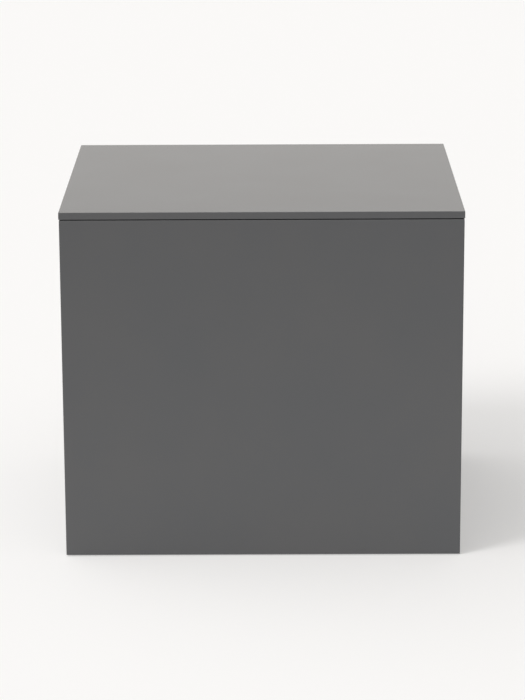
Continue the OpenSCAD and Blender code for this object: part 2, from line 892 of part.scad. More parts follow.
module box_dowel_holes() {
    both_sides() box_dowel_places() {
        cylinder(r = box_dowel_r + play, h = dowel_l + hole_extra, center = true);
    }
}

// The middles of the dowels that join the right-hand drawer side to the inner front and back
module box_dowel_places() {
    for (y = [front_back + box_t / 2, runner_back - box_t / 2], z = box_dowel_zs) {
        translate([box_in + box_dowel_in_side - dowel_l / 2, y, z]) rotate([0, 90, 0]) children();
    }
}

module drawer_inner_front() color(melamine) in_frame() {
    difference() {
        block([-box_in, front_back, box_bottom], [box_in, inner_front_back, box_top]);
        drawer_bottom_groove();
        box_dowel_holes();
        both_sides() for (z = insert_zs) pin_y([insert_x, front_back - 1, z], fixing_r + play, box_t + 2);
    }
}

module drawer_back() color(melamine) in_frame() {
    difference() {
        block([-box_in, box_back_front, box_bottom], [box_in, runner_back, box_top]);
        drawer_bottom_groove();
        box_dowel_holes();
    }
}

module drawer_side() {
    screw_hole_end = runner_w - inner_web + inner_screw_l + hole_extra;
    difference() {
        block([box_in, front_back, box_bottom], [box_x, runner_back, box_top]);
        drawer_bottom_groove();
        box_dowel_holes();
        for (y = inner_screw_ys) runner_place(y) pin_x([0, 0, 0], screw_r + play, screw_hole_end);
    }
}

module drawer_left_side() color(melamine) in_frame() mirror([1, 0, 0]) drawer_side();

module drawer_right_side() color(melamine) in_frame() drawer_side();

module drawer_bottom() color(melamine) in_frame() {
    block(
        [-box_in - groove_deep, inner_front_back - groove_deep, floor_z],
        [box_in + groove_deep, box_back_front + groove_deep, floor_z + floor_t]
    );
}

module drawer_box_dowels() color(beech) in_frame() {
    both_sides() box_dowel_places() translate([0, 0, -dowel_l / 2]) bevelled_pin(box_dowel_r, dowel_l);
}

top_cover();
inner_top();
left_side_panel();
right_side_panel();
bottom_panel();
back_panel();
hanging_batten();
cabinet_hanging_rail();
wall_hanging_rail();
hanging_rail_screws();
wall_bumpers();
carcass_dowels();
cam_bolts();
cam_locks();
cam_cover_caps();
top_cover_screws();
left_outer_runner();
right_outer_runner();
outer_runner_screws();
left_middle_runner();
right_middle_runner();
left_outer_ball_cage();
left_outer_balls();
right_outer_ball_cage();
right_outer_balls();
left_inner_ball_cage();
left_inner_balls();
right_inner_ball_cage();
right_inner_balls();
left_inner_runner();
right_inner_runner();
inner_runner_screws();
left_release_lever();
right_release_lever();
release_lever_rivets();
left_latch_housing();
right_latch_housing();
left_latch_spring();
right_latch_spring();
left_latch_plunger();
right_latch_plunger();
left_latch_pad();
right_latch_pad();
drawer_front();
drawer_inner_front();
drawer_back();
drawer_left_side();
drawer_right_side();
drawer_bottom();
drawer_box_dowels();
front_fixing_screws();
front_inserts();
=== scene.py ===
import math

import bmesh
import bpy
from mathutils import Matrix, Quaternion, Vector


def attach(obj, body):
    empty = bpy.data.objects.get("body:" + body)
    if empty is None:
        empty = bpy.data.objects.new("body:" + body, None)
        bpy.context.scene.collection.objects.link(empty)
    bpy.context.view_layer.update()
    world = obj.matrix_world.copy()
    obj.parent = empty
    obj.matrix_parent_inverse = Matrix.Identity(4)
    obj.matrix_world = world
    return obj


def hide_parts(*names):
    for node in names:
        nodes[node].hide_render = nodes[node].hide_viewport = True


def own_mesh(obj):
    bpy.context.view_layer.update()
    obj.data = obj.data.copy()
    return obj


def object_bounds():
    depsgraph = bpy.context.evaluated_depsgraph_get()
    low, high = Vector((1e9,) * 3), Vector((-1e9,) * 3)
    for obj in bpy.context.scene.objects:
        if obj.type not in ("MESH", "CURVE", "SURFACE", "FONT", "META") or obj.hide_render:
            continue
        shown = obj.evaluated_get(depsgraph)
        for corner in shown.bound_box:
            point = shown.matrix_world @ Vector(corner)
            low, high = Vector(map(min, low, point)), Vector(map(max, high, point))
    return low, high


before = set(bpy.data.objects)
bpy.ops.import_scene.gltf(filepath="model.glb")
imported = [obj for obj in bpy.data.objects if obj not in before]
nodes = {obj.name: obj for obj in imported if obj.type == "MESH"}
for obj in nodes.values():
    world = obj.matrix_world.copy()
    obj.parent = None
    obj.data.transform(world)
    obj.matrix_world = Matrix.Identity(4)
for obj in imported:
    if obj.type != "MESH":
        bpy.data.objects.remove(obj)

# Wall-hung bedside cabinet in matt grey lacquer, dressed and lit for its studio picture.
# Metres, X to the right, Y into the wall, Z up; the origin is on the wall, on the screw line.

cadLow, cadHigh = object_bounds()
mm = 0.001
print("frame loaded:", len(nodes), "nodes")


def linearColour(hexValue):
    # sRGB hex to the linear colour that a shader takes
    channels = [int(hexValue[i:i + 2], 16) / 255 for i in (1, 3, 5)]
    return [c / 12.92 if c <= 0.04045 else ((c + 0.055) / 1.055) ** 2.4 for c in channels] + [1.0]


def addNode(tree, kind, inputs=None, **settings):
    # one node with its settings; an input is a plain value, a socket, or a node whose first output is meant
    node = tree.nodes.new(kind)
    for name, value in settings.items():
        setattr(node, name, value)
    for key, value in (inputs or {}).items():
        if isinstance(value, bpy.types.Node):
            value = value.outputs[0]
        if isinstance(value, bpy.types.NodeSocket):
            tree.links.new(value, node.inputs[key])
        else:
            node.inputs[key].default_value = value
    return node


def emptyTree(owner):
    # the node tree of a material or world, with nothing in it yet
    owner.use_nodes = True
    owner.node_tree.nodes.clear()
    return owner.node_tree


# Camera: in front of the cabinet and a little above it, with a long lens
cameraSet = {
    "place": (0.00882, -3.44525, 0.75391),
    "yaw": 0.002813,        # turned to the left, radians
    "pitch": 0.260457,      # tilted down
    "roll": -0.004452,
    "lens": 144.84,         # mm
    "sensor": 36,           # mm along the picture's long side
    "clip": (0.05, 200),
}


def makeCamera():
    data = bpy.data.cameras.new("camera")
    data.sensor_width = cameraSet["sensor"]
    data.lens = cameraSet["lens"]
    data.clip_start, data.clip_end = cameraSet["clip"]
    camera = bpy.data.objects.new("camera", data)
    bpy.context.scene.collection.objects.link(camera)
    turn = Matrix.Rotation(cameraSet["yaw"], 4, "Z")
    turn = turn @ Matrix.Rotation(math.pi / 2 - cameraSet["pitch"], 4, "X")
    turn = turn @ Matrix.Rotation(cameraSet["roll"], 4, "Z")
    camera.matrix_world = Matrix.Translation(cameraSet["place"]) @ turn
    bpy.context.scene.camera = camera


makeCamera()

# Studio: a seamless pale floor under a soft key from the front left, a much broader light from the same
# side and above, and pale surroundings all round
studio = {
    "floorZ": cadLow.z - 0.1 * mm,     # just clear of the underside, so that the two never fight for a pixel
    "floorReach": 60.0,
    "paper": "#f8f7f6",
    "paperGlow": 0.34,          # share of the paper's own tone that is seen without any lamp
    "middle": (0.0, -0.4, cadLow.z),
    "near": 0.6,                # how far from the middle the paper is fully lit
    "far": 2.0,                 # and where it is down to the next two shares
    "farBounce": 0.3,           # what is left of its light on the object
    "farMirror": 0.85,          # and of its mirror image
    "backdrop": "#faf9f7",      # what the camera sees above the horizon: the lit paper's own tone
    "wall": "#f7f4f0",          # what the surroundings look like in a reflection
    "surroundings": 0.25,       # light of the world on the object
    # where the light comes from, how wide it is in degrees, how strong, and whether a sheen mirrors it; the
    # key isn't mirrored, or the cover would go white when seen from behind on the right
    "lamps": {
        "keyLight": ((-0.75, -0.48, 0.62), 20, 1.284, False),
        "broadLight": ((-0.50, -0.12, 0.85), 120, 2.088, True),
    },
}


def seenDirectly(tree):
    # 1 for the camera, for reflections and through clear pieces, else 0
    ray = addNode(tree, "ShaderNodeLightPath").outputs
    either = addNode(tree, "ShaderNodeMath", {0: ray["Is Camera Ray"], 1: ray["Is Glossy Ray"]},
                     operation="MAXIMUM")
    return addNode(tree, "ShaderNodeMath", {0: either, 1: ray["Is Transmission Ray"]}, operation="MAXIMUM")


def makeFloor():
    reach = studio["floorReach"]
    mesh = bpy.data.meshes.new("floor")
    corners = [(-reach, -reach), (reach, -reach), (reach, reach), (-reach, reach)]
    mesh.from_pydata([(x, y, studio["floorZ"]) for x, y in corners], [], [(0, 1, 2, 3)])
    floor = bpy.data.objects.new("floor", mesh)
    bpy.context.scene.collection.objects.link(floor)
    material = bpy.data.materials.new("seamlessPaper")
    tree = emptyTree(material)
    paper = linearColour(studio["paper"])
    # further out the paper gives the object less light and a duller mirror image, as at the end of a lit
    # studio; the camera itself sees it evenly pale
    spot = addNode(tree, "ShaderNodeTexCoord").outputs["Object"]
    away = addNode(tree, "ShaderNodeVectorMath", {0: spot, 1: studio["middle"]}, operation="DISTANCE")
    far = addNode(tree, "ShaderNodeMapRange", {
        "Value": away.outputs["Value"], "From Min": studio["near"], "From Max": studio["far"]})
    ray = addNode(tree, "ShaderNodeLightPath").outputs
    unseen = addNode(tree, "ShaderNodeMix", {
        "Factor": ray["Is Glossy Ray"], 2: studio["farBounce"], 3: studio["farMirror"]}, data_type="FLOAT")
    left = addNode(tree, "ShaderNodeMix", {
        "Factor": ray["Is Camera Ray"], 2: unseen, 3: 1.0}, data_type="FLOAT")
    share = addNode(tree, "ShaderNodeMix", {"Factor": far, 2: 1.0, 3: left}, data_type="FLOAT")
    tone = addNode(tree, "ShaderNodeVectorMath", {0: paper[:3], "Scale": share}, operation="SCALE")
    sheet = addNode(tree, "ShaderNodeBsdfDiffuse", {"Color": tone})
    glow = addNode(tree, "ShaderNodeEmission", {"Color": tone, "Strength": 1.0})
    glowShare = addNode(tree, "ShaderNodeMath", {0: seenDirectly(tree), 1: studio["paperGlow"]},
                        operation="MULTIPLY")
    both = addNode(tree, "ShaderNodeMixShader", {0: glowShare, 1: sheet, 2: glow})
    addNode(tree, "ShaderNodeOutputMaterial", {"Surface": both})
    mesh.materials.append(material)


def makeLamps():
    for name, (source, width, strength, mirrored) in studio["lamps"].items():
        data = bpy.data.lights.new(name, "SUN")
        data.energy = strength
        data.angle = math.radians(width)
        lamp = bpy.data.objects.new(name, data)
        bpy.context.scene.collection.objects.link(lamp)
        lamp.rotation_euler = Vector(source).to_track_quat("Z", "Y").to_euler()
        lamp.visible_glossy = mirrored


def makeSurroundings():
    world = bpy.data.worlds.new("surroundings")
    bpy.context.scene.world = world
    tree = emptyTree(world)
    strength = addNode(tree, "ShaderNodeMapRange",
                       {"Value": seenDirectly(tree), "To Min": studio["surroundings"], "To Max": 1.0})
    seen = addNode(tree, "ShaderNodeLightPath").outputs["Is Camera Ray"]
    tone = addNode(tree, "ShaderNodeMix", {0: seen, 6: linearColour(studio["wall"]),
                                           7: linearColour(studio["backdrop"])}, data_type="RGBA").outputs[2]
    glow = addNode(tree, "ShaderNodeBackground", {"Color": tone, "Strength": strength})
    addNode(tree, "ShaderNodeOutputWorld", {"Surface": glow})


makeFloor()
makeLamps()
makeSurroundings()
bpy.context.scene.view_settings.view_transform = "Standard"
print("studio set")


noiseSpread = (0.3, 0.7)        # nearly all of a noise lies between these two


def fieldOf(tree, size, detail=2.0):
    # noise from 0 to 1 whose blotches are size millimetres long along x, y and z
    place = addNode(tree, "ShaderNodeTexCoord").outputs["Object"]
    scaled = addNode(tree, "ShaderNodeMapping", {"Vector": place, "Scale": [1 / (s * mm) for s in size]})
    noise = addNode(tree, "ShaderNodeTexNoise", {"Vector": scaled, "Scale": 1.0, "Detail": detail})
    low, high = noiseSpread
    return addNode(tree, "ShaderNodeMapRange", {"Value": noise.outputs[0], "From Min": low, "From Max": high})


def grainedFinish(name, recipe, **values):
    # tones and roughness drift over driftSize; a grain of grainSize stands up by grainDepth millimetres and
    # shows in the tone by grainShare; flecks, where there are any, lie where a third noise is high; the other
    # values are set on the shader's own sockets
    material = bpy.data.materials.new(name)
    tree = emptyTree(material)
    shader = addNode(tree, "ShaderNodeBsdfPrincipled", values)
    addNode(tree, "ShaderNodeOutputMaterial", {"Surface": shader})
    drift = fieldOf(tree, recipe["driftSize"])
    grain = fieldOf(tree, recipe["grainSize"], detail=3.0)
    share = addNode(tree, "ShaderNodeMix", {"Factor": recipe["grainShare"], 2: drift, 3: grain},
                    data_type="FLOAT")
    dark, light = recipe["tones"]
    tone = addNode(tree, "ShaderNodeMix",
                   {0: share, 6: linearColour(dark), 7: linearColour(light)}, data_type="RGBA").outputs[2]
    if "fleckSize" in recipe:
        fleck = fieldOf(tree, recipe["fleckSize"], detail=0.0)
        cut = addNode(tree, "ShaderNodeMapRange", {
            "Value": fleck, "From Min": recipe["fleckFrom"], "From Max": 1.0})
        tone = addNode(tree, "ShaderNodeMix",
                       {0: cut, 6: tone, 7: linearColour(recipe["fleckTone"])}, data_type="RGBA").outputs[2]
    low, high = recipe["roughness"]
    rough = addNode(tree, "ShaderNodeMapRange", {"Value": share, "To Min": low, "To Max": high})
    bump = addNode(tree, "ShaderNodeBump", {"Height": grain, "Distance": recipe["grainDepth"] * mm})
    tree.links.new(tone, shader.inputs["Base Color"])
    tree.links.new(rough.outputs[0], shader.inputs["Roughness"])
    tree.links.new(bump.outputs[0], shader.inputs["Normal"])
    return material


# Two-part lacquer sprayed on MDF and left matt: an even neutral grey with a soft sheen that turns pale at a
# low angle; the coat drifts by less than the eye sees, over an orange peel of a few hundredths
lacquer = {
    "tones": ("#535456", "#565657"),
    "roughness": (0.20, 0.23),
    "driftSize": (90, 90, 90),
    "grainSize": (2.6, 2.6, 2.6),
    "grainDepth": 0.006,
    "grainShare": 0.15,
}
sprayedMattLacquer = grainedFinish("sprayedMattLacquer", lacquer, IOR=1.5)

# Melamine-faced chipboard pressed against a fine pearl plate: duller than the lacquer, with a dry fine grain
# that breaks up the light; the pearl is drawn at 0.9 mm, about twice its real size, so that it shows
melamine = {
    "tones": ("#585957", "#5f605e"),
    "roughness": (0.44, 0.56),
    "driftSize": (60, 60, 60),
    "grainSize": (0.9, 0.9, 0.9),
    "grainDepth": 0.05,
    "grainShare": 0.5,
}
pressedMelamine = grainedFinish("pressedMelamine", melamine, IOR=1.5)

# Beech turned on a dowel mill: pale pinkish straw, with a close grain along the dowel and short darker
# flecks, the ends of its rays
beech = {
    "tones": ("#c39b70", "#d2b186"),
    "roughness": (0.50, 0.66),
    "driftSize": (30, 5, 5),
    "grainSize": (16, 0.5, 0.5),
    "grainDepth": 0.03,
    "grainShare": 0.6,
    "fleckSize": (2.2, 0.28, 0.28),
    "fleckFrom": 0.8,
    "fleckTone": "#a67b52",
}
turnedBeech = grainedFinish("turnedBeech", beech, IOR=1.46)

# Cold-rolled steel strip, zinc plated and clear passivated: a cool bright grey with faint mill lines along
# the strip, a blotchy bloom, and a softened reflection
zincStrip = {
    "tones": ("#a3a8ae", "#c6c9cc"),
    "roughness": (0.24, 0.38),
    "driftSize": (9, 45, 9),
    "grainSize": (0.5, 120, 0.5),
    "grainDepth": 0.012,
    "grainShare": 0.35,
}
zincPlatedStrip = grainedFinish("zincPlatedStrip", zincStrip, Metallic=1.0)

# Cold-headed and rolled screws, zinc plated and blue passivated in a barrel: brighter than the strip, softly
# mottled, with a faint straw tint where the film is thicker
zincScrew = {
    "tones": ("#a4a8ab", "#bfc2c4"),
    "roughness": (0.22, 0.34),
    "driftSize": (2.5, 2.5, 2.5),
    "grainSize": (0.3, 0.3, 0.3),
    "grainDepth": 0.006,
    "grainShare": 0.3,
    "fleckSize": (2.6, 2.6, 2.6),
    "fleckFrom": 0.45,
    "fleckTone": "#b7b6ac",
}
zincPlatedScrews = grainedFinish("zincPlatedScrews", zincScrew, Metallic=1.0)

# Zinc die casting for the cam locks: a greyer, grainier skin with a dull sheen
dieCast = {
    "tones": ("#8e9194", "#a9acae"),
    "roughness": (0.36, 0.50),
    "driftSize": (4, 4, 4),
    "grainSize": (0.5, 0.5, 0.5),
    "grainDepth": 0.03,
    "grainShare": 0.4,
}
dieCastZinc = grainedFinish("dieCastZinc", dieCast, Metallic=1.0)

# Extruded aluminium, left as it comes from the press and clear anodised: a satin pale grey with straight die
# lines along the bar
extrusion = {
    "tones": ("#9ea2a6", "#bdc0c2"),
    "roughness": (0.28, 0.42),
    "driftSize": (150, 12, 12),
    "grainSize": (320, 0.6, 0.6),
    "grainDepth": 0.02,
    "grainShare": 0.65,
}
anodisedExtrusion = grainedFinish("anodisedExtrusion", extrusion, Metallic=1.0)

# Chrome steel, through hardened, ground and lapped: an almost mirror-like ball
ballSteel = {
    "tones": ("#b9bcc0", "#c8cbce"),
    "roughness": (0.07, 0.12),
    "driftSize": (3, 3, 3),
    "grainSize": (0.3, 0.3, 0.3),
    "grainDepth": 0.0004,
    "grainShare": 0.3,
}
lappedBallSteel = grainedFinish("lappedBallSteel", ballSteel, Metallic=1.0)

# Thin bright strip, stamped and folded, under a film of grease: darker than the plated members, with the
# strip's fine lines along the runner
cageStrip = {
    "tones": ("#82868b", "#9c9fa3"),
    "roughness": (0.22, 0.36),
    "driftSize": (6, 20, 6),
    "grainSize": (0.4, 60, 0.4),
    "grainDepth": 0.01,
    "grainShare": 0.5,
}
stampedCageStrip = grainedFinish("stampedCageStrip", cageStrip, Metallic=1.0)

# Patented spring wire, cold drawn and oiled: dark bright steel with a short drawn grain
springWire = {
    "tones": ("#6f7377", "#8d9195"),
    "roughness": (0.20, 0.32),
    "driftSize": (3, 3, 3),
    "grainSize": (0.25, 0.25, 0.25),
    "grainDepth": 0.006,
    "grainShare": 0.5,
}
drawnSpringWire = grainedFinish("drawnSpringWire", springWire, Metallic=1.0)

# Moulded synthetic rubber: nearly black and dull, with a pale bloom in patches and a fine pitted skin
rubber = {
    "tones": ("#1a1a1b", "#272728"),
    "roughness": (0.62, 0.82),
    "driftSize": (7, 7, 7),
    "grainSize": (0.35, 0.35, 0.35),
    "grainDepth": 0.03,
    "grainShare": 0.35,
}
mouldedRubber = grainedFinish("mouldedRubber", rubber, IOR=1.52)

# Grey polyamide moulded in a spark-eroded tool: satin, slightly cloudy, with a fine even texture
polyamide = {
    "tones": ("#656667", "#707172"),
    "roughness": (0.38, 0.50),
    "driftSize": (8, 8, 8),
    "grainSize": (0.3, 0.3, 0.3),
    "grainDepth": 0.02,
    "grainShare": 0.3,
}
mouldedPolyamide = grainedFinish("mouldedPolyamide", polyamide, IOR=1.53)

# Black acetal, moulded: a waxy dark plastic with a soft highlight
acetal = {
    "tones": ("#242425", "#2e2e2f"),
    "roughness": (0.30, 0.42),
    "driftSize": (6, 6, 6),
    "grainSize": (0.35, 0.35, 0.35),
    "grainDepth": 0.015,
    "grainShare": 0.3,
}
mouldedAcetal = grainedFinish("mouldedAcetal", acetal, IOR=1.48)
print("finishes made:", len(bpy.data.materials))

# What each slot of the record gets, and the nodes whose finish differs from their slot's
slotFinishes = {
    "lacquered_board": sprayedMattLacquer,
    "melamine_board": pressedMelamine,
    "beech": turnedBeech,
    "zinc_plated_steel": zincPlatedStrip,
    "rail_aluminium": anodisedExtrusion,
    "bright_steel": stampedCageStrip,
    "rubber": mouldedRubber,
    "grey_plastic": mouldedPolyamide,
    "black_plastic": mouldedAcetal,
}
nodeFinishes = {
    "cam_locks": dieCastZinc,
    "cam_bolts": zincPlatedScrews,
    **{f"{side}_{row}_balls": lappedBallSteel for side in ("left", "right") for row in ("outer", "inner")},
}
for name, node in nodes.items():
    for place in node.material_slots:
        place.material = nodeFinishes.get(name, slotFinishes[place.material.name])
print("finishes on the frame's parts")

sharpAngle = math.radians(38)           # edges that bend more than this stay sharp
weldDistance = 0.004 * mm               # corners closer than this become one
sides = ((-1, "left"), (1, "right"))


def newTree(name, sizes):
    # a geometry tree with one named number for each size, and where its places come in
    tree = bpy.data.node_groups.new(name, "GeometryNodeTree")
    tree.interface.new_socket("Geometry", in_out="INPUT", socket_type="NodeSocketGeometry")
    for size, value in sizes.items():
        tree.interface.new_socket(size, in_out="INPUT", socket_type="NodeSocketFloat").default_value = value
    tree.interface.new_socket("Finish", in_out="INPUT", socket_type="NodeSocketMaterial")
    tree.interface.new_socket("Geometry", in_out="OUTPUT", socket_type="NodeSocketGeometry")
    return tree, addNode(tree, "NodeGroupInput").outputs


def unitSheet(tree, columns, rows):
    # a flat grid to wrap round, each corner's turn and row from 0 to 1, and how many gaps its rows have
    across = addNode(tree, "ShaderNodeMath", {0: columns, 1: 1.0}, operation="ADD")
    grid = addNode(tree, "GeometryNodeMeshGrid",
                   {"Size X": 1.0, "Size Y": 1.0, "Vertices X": across, "Vertices Y": rows})
    spot = addNode(tree, "GeometryNodeInputPosition")
    corner = addNode(tree, "ShaderNodeVectorMath", {0: spot, 1: (0.5, 0.5, 0)}, operation="ADD")
    part = addNode(tree, "ShaderNodeSeparateXYZ", {0: corner}).outputs
    gaps = addNode(tree, "ShaderNodeMath", {0: rows, 1: 1.0}, operation="SUBTRACT")
    return grid, part[0], part[1], gaps


def shareRows(tree, row, gaps, discRows, length):
    # the first rows open a disc, the last one closes the end, and those between run down the length; returns
    # how open the disc is, how open the end is, and how far down the row is
    discEnd = addNode(tree, "ShaderNodeMath", {0: discRows, 1: gaps}, operation="DIVIDE")
    shaftEnd = addNode(tree, "ShaderNodeMath", {0: 1.0, 1: gaps}, operation="DIVIDE")
    shaftEnd = addNode(tree, "ShaderNodeMath", {0: 1.0, 1: shaftEnd}, operation="SUBTRACT")
    disc = addNode(tree, "ShaderNodeMapRange", {"Value": row, "From Max": discEnd})
    close = addNode(tree, "ShaderNodeMapRange",
                    {"Value": row, "From Min": shaftEnd, "From Max": 1.0, "To Min": 1.0, "To Max": 0.0})
    down = addNode(tree, "ShaderNodeMapRange",
                   {"Value": row, "From Min": discEnd, "From Max": shaftEnd, "To Max": length})
    return disc, close, down


def wrapRound(tree, sheet, turn, radius, height):
    # bends a flat grid into a closed turned solid; turn runs from 0 to 1 once round
    angle = addNode(tree, "ShaderNodeMath", {0: turn, 1: 2 * math.pi}, operation="MULTIPLY")
    cosine = addNode(tree, "ShaderNodeMath", {0: angle}, operation="COSINE")
    sine = addNode(tree, "ShaderNodeMath", {0: angle}, operation="SINE")
    across = addNode(tree, "ShaderNodeMath", {0: cosine, 1: radius}, operation="MULTIPLY")
    deep = addNode(tree, "ShaderNodeMath", {0: sine, 1: radius}, operation="MULTIPLY")
    spot = addNode(tree, "ShaderNodeCombineXYZ", {0: across, 1: deep, 2: height})
    bent = addNode(tree, "GeometryNodeSetPosition", {"Geometry": sheet, "Position": spot})
    return addNode(tree, "GeometryNodeMergeByDistance", {"Geometry": bent, "Distance": weldDistance})


def setOutOnPlaces(tree, entry, solid):
    # puts the solid on every place, turned as the place says, with its sharp edges kept sharp
    smooth = addNode(tree, "GeometryNodeSetShadeSmooth", {"Geometry": solid, "Shade Smooth": True},
                     domain="FACE")
    bend = addNode(tree, "GeometryNodeInputMeshEdgeAngle").outputs["Unsigned Angle"]
    sharp = addNode(tree, "FunctionNodeCompare", {0: bend, 1: sharpAngle}, operation="GREATER_THAN")
    edged = addNode(tree, "GeometryNodeSetShadeSmooth",
                    {"Geometry": smooth, "Selection": sharp, "Shade Smooth": False}, domain="EDGE")
    turn = addNode(tree, "GeometryNodeInputNamedAttribute", {"Name": "turn"}, data_type="FLOAT_VECTOR")
    rotation = addNode(tree, "FunctionNodeEulerToRotation", {"Euler": turn})
    spread = addNode(tree, "GeometryNodeInstanceOnPoints",
                     {"Points": entry["Geometry"], "Instance": edged, "Rotation": rotation})
    real = addNode(tree, "GeometryNodeRealizeInstances", {"Geometry": spread})
    painted = addNode(tree, "GeometryNodeSetMaterial", {"Geometry": real, "Material": entry["Finish"]})
    addNode(tree, "NodeGroupOutput", {"Geometry": painted})


def turnTo(direction, spin=0.0):
    # the turn that lays a piece's own Z along a direction, spun about itself by an angle in degrees
    turned = Vector(direction).to_track_quat("Z", "Y") @ Quaternion((0, 0, 1), math.radians(spin))
    return turned.to_euler()


def fromTree(name, tree, sizes, places, finish):
    # runs a tree on one point for each place, (x, y, z in mm, direction, spin), and keeps a plain mesh
    spots = bpy.data.meshes.new(name + "Spots")
    spots.from_pydata([Vector(place) * mm for place, _, _ in places], [], [])
    turns = spots.attributes.new("turn", "FLOAT_VECTOR", "POINT")
    for i, (_, direction, spin) in enumerate(places):
        turns.data[i].vector = turnTo(direction, spin)
    stand = bpy.data.objects.new(name + "Spots", spots)
    bpy.context.scene.collection.objects.link(stand)
    modifier = stand.modifiers.new(name, "NODES")
    modifier.node_group = tree
    for socket in tree.interface.items_tree:
        if socket.in_out == "INPUT" and socket.name in sizes:
            modifier[socket.identifier] = sizes[socket.name]
        elif socket.name == "Finish":
            modifier[socket.identifier] = finish
    mesh = bpy.data.meshes.new_from_object(stand.evaluated_get(bpy.context.evaluated_depsgraph_get()))
    stand.modifiers.remove(modifier)
    bpy.data.objects.remove(stand)
    mesh.materials.clear()
    mesh.materials.append(finish)
    mesh.polygons.foreach_set("material_index", [0] * len(mesh.polygons))
    if "turn" in mesh.attributes:
        mesh.attributes.remove(mesh.attributes["turn"])
    return mesh


def mirrored(x, ys, zs, direction, spin=(0, 0, 0)):
    # places at x on the right and mirrored on the left; spin is in degrees, by the side, y and z
    dx, dy, dz = direction
    bySide, byY, byZ = spin
    return [((side * x, y, z), (side * dx, dy, dz), side * bySide + y * byY + z * byZ)
            for side, _ in sides for y in ys for z in zs]


def addPiece(name, mesh, body, slotName, *replaced):
    # a finished piece at the origin, on its body, in place of the nodes it stands for
    mesh.name = name
    piece = bpy.data.objects.new(name, mesh)
    bpy.context.scene.collection.objects.link(piece)
    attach(piece, body)
    if replaced:
        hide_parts(*replaced)
    print(name, len(mesh.polygons), "faces")
    return piece


# Cross-head screws, drawn along +Z with the middle of the head at the origin. The head is a flat or domed
# disc with a bevelled rim and a cone below it; the thread is one helical ridge that fades out under the head.
screwGrid = {
    "columns": 28,              # faces round the screw
    "discRows": 4,              # rows that make the top of the head
    "ridgeShare": 0.34,         # half width of the ridge at its foot, as a share of the pitch
    "tipShare": 0.12,           # of the shank's radius that is left at the point
    "recessWidth": 0.22,        # width of a wing of the cross, as a share of its length
    "recessDepth": 0.42,        # depth of the cross, as a share of the same
    "recessMouth": 1.3,         # how far its taper widens it above the head
    "recessFoot": 0.6,          # and narrows it at its foot
}

# Chipboard screws with a countersunk head: four hold the rail, six the cover and six the outer runners
boardScrew = {
    "Rows": 130, "Length": 20 * mm, "Top Radius": 3.35 * mm, "Head Radius": 3.5 * mm, "Rim Height": 0.15 * mm,
    "Head Flat": 0.15 * mm, "Head End": 2.3 * mm, "Core Radius": 1.2 * mm, "Thread Depth": 0.55 * mm,
    "Pitch": 1.6 * mm, "Thread Start": 3.2 * mm, "Point Length": 3.2 * mm, "Dome": 0.0, "Recess": 3.4 * mm,
}


